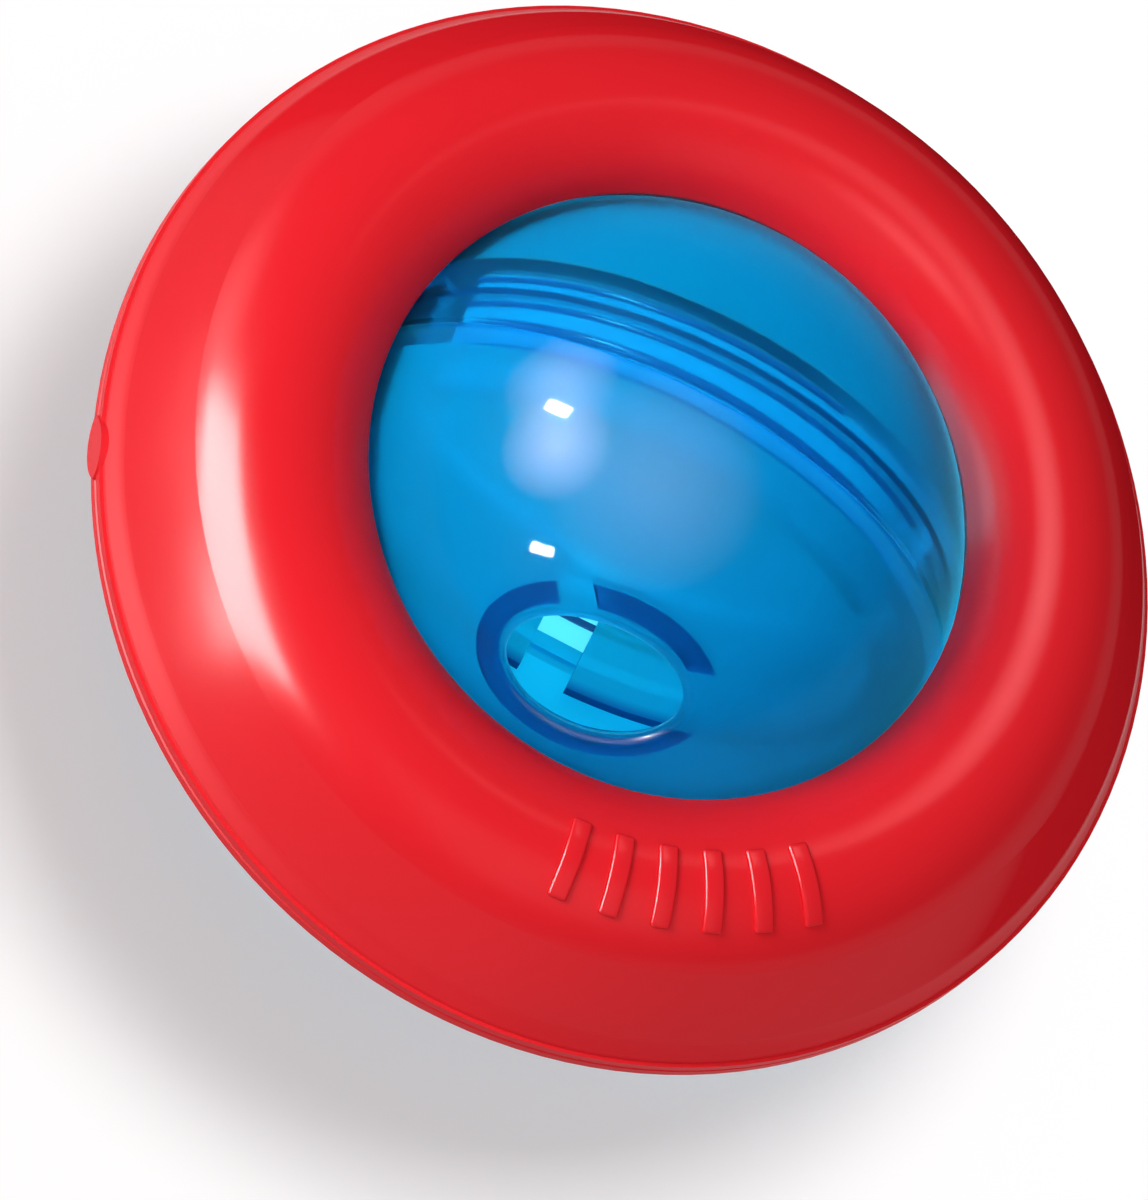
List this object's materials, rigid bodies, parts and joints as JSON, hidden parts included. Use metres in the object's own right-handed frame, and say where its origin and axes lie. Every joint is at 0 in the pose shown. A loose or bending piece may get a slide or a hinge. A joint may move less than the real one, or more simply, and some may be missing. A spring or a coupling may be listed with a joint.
{
  "type": "treat dispensing dog toy",
  "caption": "Hollow red plastic ring with a translucent blue screw-apart ball held captive in its bore; treats drop from an oval port in the ball as it rolls.",
  "frame": {"origin": "common centre of the ball and of the ring round it", "axes": "+Z along the ring's axis, to the side from which the port is seen; +Y along the ball's screw axis, towards its cap half; +X completes the right-handed frame"},
  "size_m": [0.171, 0.171, 0.1044],
  "materials": {
    "ring_red": "smooth moulded gloss",
    "orb_blue": "translucent tinted gloss"
  },
  "bodies": {
    "ring": {"ring_front_shell": "ring_red", "ring_rear_shell": "ring_red"},
    "orb_port": {"orb_port_half": "orb_blue"},
    "orb_cap": {"orb_cap_half": "orb_blue"}
  },
  "joints": [
    {"name": "orb_spin", "type": "hinge", "parent": "ring", "child": "orb_port", "pos_m": [0, 0, 0], "axis": [1, 0, 0], "continuous": true},
    {"name": "orb_twist", "type": "hinge", "parent": "orb_port", "child": "orb_cap", "pos_m": [0, 0, 0], "axis": [0, 1, 0], "range_deg": [-720, 0]}
  ]
}
